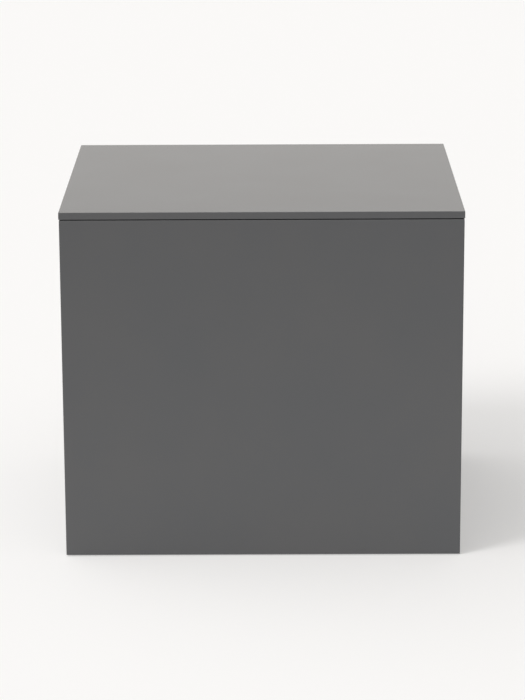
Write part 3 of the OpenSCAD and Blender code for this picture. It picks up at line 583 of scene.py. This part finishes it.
def makeScrewTree():
    tree, entry = newTree("crossHeadScrew", boardScrew)
    grid, turn, row, gaps = unitSheet(tree, screwGrid["columns"], entry["Rows"])
    disc, close, down = shareRows(tree, row, gaps, screwGrid["discRows"], entry["Length"])

    rim = addNode(tree, "ShaderNodeMapRange", {
        "Value": down, "From Max": entry["Rim Height"],
        "To Min": entry["Top Radius"], "To Max": entry["Head Radius"]})
    cone = addNode(tree, "ShaderNodeMapRange", {
        "Value": down, "From Min": entry["Head Flat"], "From Max": entry["Head End"],
        "To Min": entry["Head Radius"], "To Max": entry["Core Radius"]})
    plain = addNode(tree, "ShaderNodeMath", {0: rim, 1: cone}, operation="MINIMUM")

    # the ridge stands where the height, counted in pitches, and the turn round the screw agree
    pitches = addNode(tree, "ShaderNodeMath", {0: down, 1: entry["Pitch"]}, operation="DIVIDE")
    phase = addNode(tree, "ShaderNodeMath", {0: pitches, 1: turn}, operation="SUBTRACT")
    phase = addNode(tree, "ShaderNodeMath", {0: phase}, operation="FRACT")
    phase = addNode(tree, "ShaderNodeMath", {0: phase, 1: 0.5}, operation="SUBTRACT")
    phase = addNode(tree, "ShaderNodeMath", {0: phase}, operation="ABSOLUTE")
    ridge = addNode(tree, "ShaderNodeMapRange", {
        "Value": phase, "From Max": screwGrid["ridgeShare"], "To Min": entry["Thread Depth"], "To Max": 0.0})
    runOut = addNode(tree, "ShaderNodeMath", {0: entry["Thread Start"], 1: entry["Pitch"]}, operation="ADD")
    fade = addNode(tree, "ShaderNodeMapRange",
                   {"Value": down, "From Min": entry["Thread Start"], "From Max": runOut})
    thread = addNode(tree, "ShaderNodeMath", {0: ridge, 1: fade}, operation="MULTIPLY")
    full = addNode(tree, "ShaderNodeMath", {0: plain, 1: thread}, operation="ADD")

    pointStart = addNode(tree, "ShaderNodeMath", {0: entry["Length"], 1: entry["Point Length"]},
                         operation="SUBTRACT")
    point = addNode(tree, "ShaderNodeMapRange", {
        "Value": down, "From Min": pointStart, "From Max": entry["Length"],
        "To Min": 1.0, "To Max": screwGrid["tipShare"]})
    radius = addNode(tree, "ShaderNodeMath", {0: full, 1: point}, operation="MULTIPLY")
    radius = addNode(tree, "ShaderNodeMath", {0: radius, 1: disc}, operation="MULTIPLY")
    radius = addNode(tree, "ShaderNodeMath", {0: radius, 1: close}, operation="MULTIPLY")
    bulge = addNode(tree, "ShaderNodeMath", {0: disc, 1: disc}, operation="MULTIPLY")
    bulge = addNode(tree, "ShaderNodeMath", {0: bulge, 1: entry["Dome"]}, operation="MULTIPLY")
    height = addNode(tree, "ShaderNodeMath", {0: down, 1: bulge}, operation="ADD")
    solid = wrapRound(tree, grid, turn, radius, height)

    # the cross recess: two bars that narrow as they go in
    wing = addNode(tree, "ShaderNodeMath", {0: entry["Recess"], 1: screwGrid["recessWidth"]},
                   operation="MULTIPLY")
    drop = addNode(tree, "ShaderNodeMath", {0: entry["Recess"], 1: screwGrid["recessDepth"]},
                   operation="MULTIPLY")
    both = addNode(tree, "ShaderNodeMath", {0: drop, 1: 2.0}, operation="MULTIPLY")
    barSize = addNode(tree, "ShaderNodeCombineXYZ", {0: entry["Recess"], 1: wing, 2: both})
    bar = addNode(tree, "GeometryNodeMeshCube", {"Size": barSize})
    spot = addNode(tree, "GeometryNodeInputPosition")
    barHeight = addNode(tree, "ShaderNodeSeparateXYZ", {0: spot}).outputs[2]
    upper = addNode(tree, "ShaderNodeMath", {0: drop, 1: -1.0}, operation="MULTIPLY")
    taper = addNode(tree, "ShaderNodeMapRange", {
        "Value": barHeight, "From Min": upper, "From Max": drop,
        "To Min": screwGrid["recessMouth"], "To Max": screwGrid["recessFoot"]})
    narrow = addNode(tree, "ShaderNodeCombineXYZ", {0: taper, 1: taper, 2: 1.0})
    tapered = addNode(tree, "ShaderNodeVectorMath", {0: spot, 1: narrow}, operation="MULTIPLY")
    bar = addNode(tree, "GeometryNodeSetPosition", {"Geometry": bar, "Position": tapered})
    crossed = addNode(tree, "GeometryNodeTransform", {"Geometry": bar, "Rotation": (0, 0, math.pi / 2)})
    cut = addNode(tree, "GeometryNodeMeshBoolean", {0: solid, 1: bar}, operation="DIFFERENCE", solver="EXACT")
    tree.links.new(crossed.outputs[0], cut.inputs[1])
    hasRecess = addNode(tree, "FunctionNodeCompare", {0: entry["Recess"], 1: 0.0}, operation="GREATER_THAN")
    headed = addNode(tree, "GeometryNodeSwitch",
                     {"Switch": hasRecess, "False": solid, "True": cut}, input_type="GEOMETRY")
    setOutOnPlaces(tree, entry, headed)
    return tree


screwTree = makeScrewTree()

railScrew = {**boardScrew, "Length": 25 * mm, "Rows": 160}
outerScrew = {
    **boardScrew, "Length": 12 * mm, "Rows": 84, "Top Radius": 3.05 * mm, "Head Radius": 3.2 * mm,
    "Thread Start": 2.2 * mm, "Point Length": 2.4 * mm, "Recess": 3.0 * mm,
}

# Pan heads: short chipboard screws in the drawer sides, and machine screws through the inner front
innerScrew = {
    **boardScrew, "Length": 11.8 * mm, "Rows": 90, "Top Radius": 2.7 * mm, "Head Radius": 3.6 * mm,
    "Rim Height": 0.7 * mm, "Head Flat": 1.7 * mm, "Head End": 1.8 * mm, "Thread Start": 2.6 * mm,
    "Point Length": 2.4 * mm, "Dome": 0.6 * mm, "Recess": 3.1 * mm,
}
frontScrew = {
    **innerScrew, "Length": 22.8 * mm, "Rows": 280, "Top Radius": 3.0 * mm, "Head Radius": 4.0 * mm,
    "Core Radius": 1.62 * mm, "Thread Depth": 0.38 * mm, "Pitch": 0.7 * mm, "Thread Start": 2.2 * mm,
    "Point Length": 0.7 * mm, "Recess": 3.6 * mm,
}

# Where the heads sit, in mm; each cross is turned by its own angle, as in a row of driven screws
railSpots = {"xs": (-150, -50, 50, 150), "y": -5.0, "z": 44.4}
coverSpots = {"xs": (-150, 0, 150), "ys": (-325, -69), "z": 76.0}
outerSpots = {"x": 207.8, "ys": (-341, -181, -61), "zs": (-180,), "direction": (1, 0, 0), "spin": (50, 1, 0)}
innerSpots = {"x": 199.9, "ys": (-341, -61), "zs": (-180,), "direction": (-1, 0, 0), "spin": (25, 1, 0)}
frontSpots = {"x": 140, "ys": (-366.6,), "zs": (-208, -86), "direction": (0, -1, 0), "spin": (20, 0, 1)}
railPlaces = [((x, railSpots["y"], railSpots["z"]), (0, -1, 0), 40 * x) for x in railSpots["xs"]]
coverPlaces = [((x, y, coverSpots["z"]), (0, 0, 1), x / 3 + y)
               for x in coverSpots["xs"] for y in coverSpots["ys"]]

for name, sizes, places, body, node in (
    ("hangingRailScrews", railScrew, railPlaces, "carcass", "hanging_rail_screws"),
    ("topCoverScrews", boardScrew, coverPlaces, "carcass", "top_cover_screws"),
    ("outerRunnerScrews", outerScrew, mirrored(**outerSpots), "carcass", "outer_runner_screws"),
    ("innerRunnerScrews", innerScrew, mirrored(**innerSpots), "drawer", "inner_runner_screws"),
    ("frontFixingScrews", frontScrew, mirrored(**frontSpots), "drawer", "front_fixing_screws"),
):
    mesh = fromTree(name, screwTree, sizes, places, zincPlatedScrews)
    addPiece(name, mesh, body, "zinc_plated_steel", node)
print("screws made")

# Fluted pins, drawn along +Z from the origin: a bevel at both ends and shallow flutes that let the glue out
pinSizes = {
    "Columns": 64, "Rows": 34, "Length": 30 * mm, "Radius": 4 * mm, "Bevel": 1 * mm, "End Radius": 3.1 * mm,
    "Flute Depth": 0.3 * mm, "Flutes": 16,
}


def makePinTree():
    tree, entry = newTree("flutedPin", pinSizes)
    grid, turn, row, gaps = unitSheet(tree, entry["Columns"], entry["Rows"])
    disc, close, down = shareRows(tree, row, gaps, 1.0, entry["Length"])
    lower = addNode(tree, "ShaderNodeMapRange", {
        "Value": down, "From Max": entry["Bevel"], "To Min": entry["End Radius"], "To Max": entry["Radius"]})
    upStart = addNode(tree, "ShaderNodeMath", {0: entry["Length"], 1: entry["Bevel"]}, operation="SUBTRACT")
    upper = addNode(tree, "ShaderNodeMapRange", {
        "Value": down, "From Min": upStart, "From Max": entry["Length"],
        "To Min": entry["Radius"], "To Max": entry["End Radius"]})
    outline = addNode(tree, "ShaderNodeMath", {0: lower, 1: upper}, operation="MINIMUM")
    waves = addNode(tree, "ShaderNodeMath", {0: turn, 1: entry["Flutes"]}, operation="MULTIPLY")
    waves = addNode(tree, "ShaderNodeMath", {0: waves, 1: 2 * math.pi}, operation="MULTIPLY")
    flute = addNode(tree, "ShaderNodeMath", {0: waves}, operation="COSINE")
    flute = addNode(tree, "ShaderNodeMapRange",
                    {"Value": flute, "From Min": -1.0, "From Max": 1.0, "To Max": entry["Flute Depth"]})
    radius = addNode(tree, "ShaderNodeMath", {0: outline, 1: flute}, operation="SUBTRACT")
    radius = addNode(tree, "ShaderNodeMath", {0: radius, 1: disc}, operation="MULTIPLY")
    radius = addNode(tree, "ShaderNodeMath", {0: radius, 1: close}, operation="MULTIPLY")
    setOutOnPlaces(tree, entry, wrapRound(tree, grid, turn, radius, down))
    return tree


pinTree = makePinTree()

# Dowels of the carcass, each at its own y and z, and thinner ones for the drawer box; they start at x
carcassSpots = {"x": 190, "yz": ((-309, -292), (-85, -292), (-309, 84), (-85, 84), (-25, 30), (-25, 62))}
carcassPlaces = [((side * carcassSpots["x"], y, z), (side, 0, 0), y + z)
                 for side, _ in sides for y, z in carcassSpots["yz"]]
boxSpots = {"x": 162.3, "ys": (-375, -32), "zs": (-240, -70, -38), "direction": (1, 0, 0), "spin": (0, 1, 1)}
boxPin = {
    **pinSizes, "Columns": 56, "Radius": 3 * mm, "End Radius": 2.3 * mm, "Flute Depth": 0.25 * mm,
    "Flutes": 14,
}
carcassDowels = fromTree("carcassDowels", pinTree, pinSizes, carcassPlaces, turnedBeech)
addPiece("carcassDowels", carcassDowels, "carcass", "beech", "carcass_dowels")
boxDowels = fromTree("drawerBoxDowels", pinTree, boxPin, mirrored(**boxSpots), turnedBeech)
addPiece("drawerBoxDowels", boxDowels, "drawer", "beech", "drawer_box_dowels")
print("dowels made")

# Latch springs: round wire, closed by one flat turn at each end, drawn at one length; the real springs
# shorten when the latch is pressed
springSizes = {
    "Turns": 13, "Turn Steps": 24, "Coil Radius": 2.9 * mm, "Wire Radius": 0.35 * mm, "Wire Sides": 12,
    "Length": 39.16 * mm, "End Pitch": 1.3 * mm,
}
springPlace = {"x": 217.0, "yFront": -344.53, "yBack": -305.37, "z": -70.0, "pressed": 0.937}


def makeSpringTree():
    tree, entry = newTree("latchSpring", springSizes)
    steps = addNode(tree, "ShaderNodeMath", {0: entry["Turns"], 1: entry["Turn Steps"]}, operation="MULTIPLY")
    count = addNode(tree, "ShaderNodeMath", {0: steps, 1: 1.0}, operation="ADD")
    line = addNode(tree, "GeometryNodeResampleCurve",
                   {"Curve": addNode(tree, "GeometryNodeCurvePrimitiveLine"), "Count": count})
    along = addNode(tree, "GeometryNodeSplineParameter").outputs["Factor"]
    turns = addNode(tree, "ShaderNodeMath", {0: along, 1: entry["Turns"]}, operation="MULTIPLY")
    angle = addNode(tree, "ShaderNodeMath", {0: turns, 1: 2 * math.pi}, operation="MULTIPLY")
    cosine = addNode(tree, "ShaderNodeMath", {0: angle}, operation="COSINE")
    sine = addNode(tree, "ShaderNodeMath", {0: angle}, operation="SINE")
    across = addNode(tree, "ShaderNodeMath", {0: cosine, 1: entry["Coil Radius"]}, operation="MULTIPLY")
    deep = addNode(tree, "ShaderNodeMath", {0: sine, 1: entry["Coil Radius"]}, operation="MULTIPLY")
    lastTurn = addNode(tree, "ShaderNodeMath", {0: entry["Turns"], 1: 1.0}, operation="SUBTRACT")
    ends = addNode(tree, "ShaderNodeMath", {0: entry["End Pitch"], 1: 2.0}, operation="MULTIPLY")
    openLength = addNode(tree, "ShaderNodeMath", {0: entry["Length"], 1: ends}, operation="SUBTRACT")
    start = addNode(tree, "ShaderNodeMapRange", {"Value": turns, "To Max": entry["End Pitch"]})
    middle = addNode(tree, "ShaderNodeMapRange",
                     {"Value": turns, "From Min": 1.0, "From Max": lastTurn, "To Max": openLength})
    close = addNode(tree, "ShaderNodeMapRange", {
        "Value": turns, "From Min": lastTurn, "From Max": entry["Turns"], "To Max": entry["End Pitch"]})
    height = addNode(tree, "ShaderNodeMath", {0: start, 1: middle}, operation="ADD")
    height = addNode(tree, "ShaderNodeMath", {0: height, 1: close}, operation="ADD")
    spot = addNode(tree, "ShaderNodeCombineXYZ", {0: across, 1: deep, 2: height})
    coil = addNode(tree, "GeometryNodeSetPosition", {"Geometry": line, "Position": spot})
    wire = addNode(tree, "GeometryNodeCurvePrimitiveCircle",
                   {"Resolution": entry["Wire Sides"], "Radius": entry["Wire Radius"]})
    tube = addNode(tree, "GeometryNodeCurveToMesh", {"Curve": coil, "Profile Curve": wire, "Fill Caps": True})
    setOutOnPlaces(tree, entry, tube)
    return tree


springTree = makeSpringTree()
for side, sideName in sides:
    name = sideName + "LatchSpring"
    frontEnd = (side * springPlace["x"], springPlace["yFront"], springPlace["z"])
    coiled = fromTree(name, springTree, springSizes, [(frontEnd, (0, 1, 0), 0)], drawnSpringWire)
    spring = addPiece(name, coiled, "carcass", "bright_steel", sideName + "_latch_spring")
    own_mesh(spring)
print("springs made")


def makeTurnedTree():
    # turns an outline about Z: the corners of the object Profile hold its radius in x and its height in z
    tree, entry = newTree("turnedPart", {"Columns": 48})
    socket = tree.interface.new_socket("Profile", in_out="INPUT", socket_type="NodeSocketObject")
    profile = addNode(tree, "GeometryNodeObjectInfo", {"Object": entry[socket.name]}).outputs["Geometry"]
    count = addNode(tree, "GeometryNodeAttributeDomainSize", {"Geometry": profile}).outputs["Point Count"]
    grid, turn, along, gaps = unitSheet(tree, entry["Columns"], count)
    row = addNode(tree, "ShaderNodeMath", {0: along, 1: gaps}, operation="MULTIPLY")
    row = addNode(tree, "ShaderNodeMath", {0: row}, operation="ROUND")
    spot = addNode(tree, "GeometryNodeInputPosition")
    corner = addNode(tree, "GeometryNodeSampleIndex",
                     {"Geometry": profile, "Value": spot, "Index": row}, data_type="FLOAT_VECTOR")
    outline = addNode(tree, "ShaderNodeSeparateXYZ", {0: corner}).outputs
    setOutOnPlaces(tree, entry, wrapRound(tree, grid, turn, outline[0], outline[2]))
    return tree


turnedTree = makeTurnedTree()


def turnedParts(name, profile, columns, places, finish):
    # the turned solid of an outline of (radius, height) in mm, from axis to axis, on every place
    line = bpy.data.meshes.new(name + "Profile")
    line.from_pydata([(radius * mm, 0, height * mm) for radius, height in profile], [], [])
    drawing = bpy.data.objects.new(name + "Profile", line)
    bpy.context.scene.collection.objects.link(drawing)
    mesh = fromTree(name, turnedTree, {"Columns": columns, "Profile": drawing}, places, finish)
    bpy.data.objects.remove(drawing)
    return mesh


def joined(name, meshes):
    # several meshes of one finish as one
    shape = bmesh.new()
    for mesh in meshes:
        shape.from_mesh(mesh)
    whole = bpy.data.meshes.new(name)
    shape.to_mesh(whole)
    shape.free()
    whole.materials.append(meshes[0].materials[0])
    return whole


def roundedRim(radius, height, bend, startAngle, endAngle, steps=5):
    # profile points round a rounded rim, whose bend has its middle at (radius, height)
    turns = [math.radians(startAngle + (endAngle - startAngle) * i / steps) for i in range(steps + 1)]
    return [(radius + bend * math.cos(turn), height + bend * math.sin(turn)) for turn in turns]


def domedFace(radius, height, steps):
    # profile points from the axis out over a shallow dome
    return [(i / steps * radius, height * (i / steps) ** 2) for i in range(steps + 1)]


# Wall bumpers: rubber feet with a rounded rim, a slight taper and a ring groove in the face on the wall
bumper = {
    "baseRadius": 9.9, "baseBend": 0.5, "faceRadius": 9.2, "height": 9.0, "rim": 1.2, "rimSteps": 8,
    "grooveInner": 4.6, "grooveOuter": 6.2, "grooveDepth": 0.8, "grooveEdge": 0.3,
    "columns": 64, "x": 150.0, "y": -9.0, "z": -260.0,
}


def bumperProfile():
    bend, rim, top, edge = bumper["baseBend"], bumper["rim"], bumper["height"], bumper["grooveEdge"]
    inner, outer, floor = bumper["grooveInner"], bumper["grooveOuter"], top - bumper["grooveDepth"]
    base = [(0, 0), (bumper["baseRadius"] - bend, 0)]
    base += roundedRim(bumper["baseRadius"] - bend, bend, bend, -90, 0)
    face = roundedRim(bumper["faceRadius"] - rim, top - rim, rim, 0, 90, bumper["rimSteps"])
    groove = [(outer + edge, top), (outer, top - edge), (outer - edge, floor),
              (inner + edge, floor), (inner, top - edge), (inner - edge, top)]
    return base + face + groove + [(0, top)]


bumperPlaces = mirrored(bumper["x"], [bumper["y"]], [bumper["z"]], (0, 1, 0))
bumpers = turnedParts("wallBumpers", bumperProfile(), bumper["columns"], bumperPlaces, mouldedRubber)
addPiece("wallBumpers", bumpers, "carcass", "rubber", "wall_bumpers")

# Cam cover caps: thin moulded discs, slightly domed below, with a bevelled rim that presses into the bore
cap = {
    "radius": 7.45, "thickness": 1.2, "dome": 0.35, "domeSteps": 7, "edgeIn": 0.25, "edgeUp": 0.2,
    "rimHeight": 0.55, "rimBevel": 0.35, "lip": 1.2, "dishWall": 0.15, "dishDepth": 0.3,
    "columns": 64, "x": 185.0, "ys": (-341.0, -53.0), "z": -300.0,
}


def capProfile():
    radius, dome, top = cap["radius"], cap["dome"], cap["thickness"]
    dish = top - cap["dishDepth"]
    face = domedFace(radius - cap["edgeIn"], dome, cap["domeSteps"])
    rim = [(radius, dome + cap["edgeUp"]), (radius, dome + cap["rimHeight"]), (radius - cap["rimBevel"], top)]
    return face + rim + [(radius - cap["lip"], top), (radius - cap["lip"] - cap["dishWall"], dish), (0, dish)]


capPlaces = mirrored(cap["x"], cap["ys"], [cap["z"]], (0, 0, 1))
caps = turnedParts("camCoverCaps", capProfile(), cap["columns"], capPlaces, mouldedPolyamide)
addPiece("camCoverCaps", caps, "carcass", "grey_plastic", "cam_cover_caps")

# Front inserts: plugs with barbed rings, pressed into the back of the drawer front, with a blind bore for the
# screw; a barb rises to its tip and falls back by shares of its length
insert = {
    "radius": 9.95, "rootRadius": 9.45, "leadIn": 0.6, "height": 11.0, "barbs": 5, "firstBarb": 1.0,
    "barbTip": 0.8, "barbBack": 0.9, "flange": 1.2, "rimBevel": 0.2, "boreRadius": 2.05, "boreFloor": 1.0,
    "boreBevel": 0.7, "columns": 64, "x": 140.0, "y": -392.0, "zs": (-208.0, -86.0),
}


def insertProfile():
    radius, root, top = insert["radius"], insert["rootRadius"], insert["height"]
    bore, bevel, bottom = insert["boreRadius"], insert["boreBevel"], insert["boreFloor"]
    neck, rim = top - insert["flange"], insert["rimBevel"]
    step = (neck - insert["firstBarb"]) / insert["barbs"]
    profile = [(0, 0), (root - insert["leadIn"], 0), (root, insert["leadIn"])]
    for barb in range(insert["barbs"]):
        foot = insert["firstBarb"] + barb * step
        profile += [(root, foot), (radius, foot + insert["barbTip"] * step),
                    (root, foot + insert["barbBack"] * step)]
    profile += [(root, neck), (radius, neck), (radius, top - rim), (radius - rim, top)]
    return profile + [(bore + bevel, top), (bore, top - bevel), (bore, bottom), (0, bottom)]


insertPlaces = mirrored(insert["x"], [insert["y"]], insert["zs"], (0, 1, 0))
inserts = turnedParts("frontInserts", insertProfile(), insert["columns"], insertPlaces, mouldedPolyamide)
addPiece("frontInserts", inserts, "drawer", "black_plastic", "front_inserts")

# Cam bolts: a round head that the cam pulls on, a thin neck, a collar with a ring groove, and a coarse thread
# whose own piece starts inside the collar, at threadX
camBolt = {
    "faceRadius": 1.1, "faceEdge": 0.1, "headBend": 1.5, "headMiddle": 1.6, "headAngles": (-80, 60),
    "headSteps": 8, "headLength": 4.0, "neckRadius": 1.9, "collarStart": 20.0, "collarEnd": 26.0,
    "collarRadius": 3.95, "collarBevel": 0.6, "collarEdge": 0.3, "grooveStart": 22.2, "grooveEnd": 24.0,
    "grooveDepth": 0.4, "coreRadius": 1.7, "tail": 27.0, "columns": 32,
    "x": 183.0, "threadX": 207.0, "ys": (-341.0, -53.0), "zs": (-292.0, 84.0),
}
camBoltThread = {
    "Rows": 90, "Length": 13 * mm, "Top Radius": 1.8 * mm, "Head Radius": 1.8 * mm, "Rim Height": 0.1 * mm,
    "Head Flat": 0.1 * mm, "Head End": 0.2 * mm, "Core Radius": camBolt["coreRadius"] * mm,
    "Thread Depth": 0.8 * mm, "Pitch": 1.9 * mm, "Thread Start": 1.9 * mm, "Point Length": 2.2 * mm,
    "Dome": 0.0, "Recess": 0.0,
}


def camBoltProfile():
    bend, neck, core = camBolt["headBend"], camBolt["neckRadius"], camBolt["coreRadius"]
    collar, start, end = camBolt["collarRadius"], camBolt["collarStart"], camBolt["collarEnd"]
    bevel, edge, deep = camBolt["collarBevel"], camBolt["collarEdge"], camBolt["grooveDepth"]
    grooveStart, grooveEnd = camBolt["grooveStart"], camBolt["grooveEnd"]
    head = [(0, 0), (camBolt["faceRadius"], camBolt["faceEdge"])]
    head += roundedRim(bend, camBolt["headMiddle"], bend, *camBolt["headAngles"], camBolt["headSteps"])
    shank = [(neck, camBolt["headLength"]), (neck, start), (collar - bevel, start), (collar, start + bevel)]
    groove = [(collar, grooveStart), (collar - deep, grooveStart + deep),
              (collar - deep, grooveEnd - deep), (collar, grooveEnd)]
    tail = [(collar, end - edge), (collar - edge, end), (core, end), (core, camBolt["tail"])]
    return head + shank + groove + tail + [(0, camBolt["tail"])]


camBoltPlaces = mirrored(camBolt["x"], camBolt["ys"], camBolt["zs"], (1, 0, 0))
threadPlaces = mirrored(camBolt["threadX"], camBolt["ys"], camBolt["zs"], (1, 0, 0), spin=(0, 1, 1))
camBoltHeads = turnedParts("camBoltHeads", camBoltProfile(), camBolt["columns"], camBoltPlaces,
                           zincPlatedScrews)
camBoltThreads = fromTree("camBoltThreads", screwTree, camBoltThread, threadPlaces, zincPlatedScrews)
camBolts = joined("camBolts", [camBoltHeads, camBoltThreads])
addPiece("camBolts", camBolts, "carcass", "zinc_plated_steel", "cam_bolts")

# Release levers: a moulded plate that turns on a rivet, with thumb ribs on its tail, one on each inner
# runner; its outline is four arcs, each with its middle (from the rivet), radius, and first and last angle
lever = {
    "outerFace": 199.5, "thickness": 1.6, "y": -201.0, "z": -180.0, "bevel": 0.22, "bevelSteps": 2,
    "hardAngle": 60, "holeRadius": 2.05, "holeSteps": 28, "arcSteps": 10,
    "arcs": (((42, 0), 3.2, -85, 85), ((0, 0), 5.0, 60, 110), ((-12, 1.5), 2.2, 80, 270),
             ((0, 0), 5.0, 230, 300)),
    "ribCount": 5, "ribFirst": 34.6, "ribStep": 2.1, "ribLength": 4.0,
}
thumbRib = {
    **pinSizes, "Columns": 14, "Rows": 9, "Length": lever["ribLength"] * mm, "Radius": 0.5 * mm,
    "Bevel": 0.6 * mm, "End Radius": 0.2 * mm, "Flute Depth": 0.0, "Flutes": 1,
}


def leverPlate(name, side):
    rim = []
    for middle, radius, start, end in lever["arcs"]:
        rim += roundedRim(*middle, radius, start, end, lever["arcSteps"])
    lastHole = 360 - 360 / lever["holeSteps"]
    hole = roundedRim(0, 0, lever["holeRadius"], 0, lastHole, lever["holeSteps"] - 1)
    face, y, z = lever["outerFace"], lever["y"], lever["z"]
    shape = bmesh.new()
    for loop in (rim, hole):
        corners = [shape.verts.new((side * face * mm, (y - u) * mm, (z + v) * mm)) for u, v in loop]
        for i, corner in enumerate(corners):
            shape.edges.new((corner, corners[(i + 1) % len(corners)]))
    bmesh.ops.triangle_fill(shape, use_beauty=True, edges=shape.edges[:])
    thick = bmesh.ops.extrude_face_region(shape, geom=shape.faces[:])
    moved = [part for part in thick["geom"] if isinstance(part, bmesh.types.BMVert)]
    bmesh.ops.translate(shape, verts=moved, vec=(-side * lever["thickness"] * mm, 0, 0))
    bmesh.ops.recalc_face_normals(shape, faces=shape.faces)
    hard = [edge for edge in shape.edges if edge.calc_face_angle(0) > math.radians(lever["hardAngle"])]
    bmesh.ops.bevel(shape, geom=hard, offset=lever["bevel"] * mm, segments=lever["bevelSteps"],
                    affect="EDGES", clamp_overlap=True)
    bmesh.ops.recalc_face_normals(shape, faces=shape.faces)
    mesh = bpy.data.meshes.new(name)
    shape.to_mesh(mesh)
    shape.free()
    mesh.materials.append(mouldedAcetal)
    mesh.shade_smooth()
    mesh.set_sharp_from_angle(angle=sharpAngle)
    return mesh


for side, sideName in sides:
    name = sideName + "ReleaseLever"
    ribPlaces = [((side * lever["outerFace"], lever["y"] - lever["ribFirst"] - i * lever["ribStep"],
                   lever["z"] - lever["ribLength"] / 2), (0, 0, 1), 0) for i in range(lever["ribCount"])]
    ribs = fromTree(name + "Ribs", pinTree, thumbRib, ribPlaces, mouldedAcetal)
    addPiece(name, joined(name, [leverPlate(name, side), ribs]), sideName + "_lever", "black_plastic",
             sideName + "_release_lever")

# Rivets of the levers: a shallow domed head on a plain shank
rivet = {
    "headRadius": 3.2, "headHeight": 0.8, "dome": 0.35, "domeSteps": 6, "edge": 0.1, "shankRadius": 1.98,
    "length": 4.1, "columns": 40, "x": 200.4,
}


def rivetProfile():
    radius, shank, edge = rivet["headRadius"], rivet["shankRadius"], rivet["edge"]
    return domedFace(radius - edge, rivet["dome"], rivet["domeSteps"]) + [
        (radius, rivet["dome"] + edge), (radius, rivet["headHeight"]), (shank, rivet["headHeight"]),
        (shank, rivet["length"]), (0, rivet["length"]),
    ]


rivetPlaces = mirrored(rivet["x"], [lever["y"]], [lever["z"]], (-1, 0, 0))
rivets = turnedParts("releaseLeverRivets", rivetProfile(), rivet["columns"], rivetPlaces, drawnSpringWire)
addPiece("releaseLeverRivets", rivets, "drawer", "bright_steel", "release_lever_rivets")
print("small parts made")
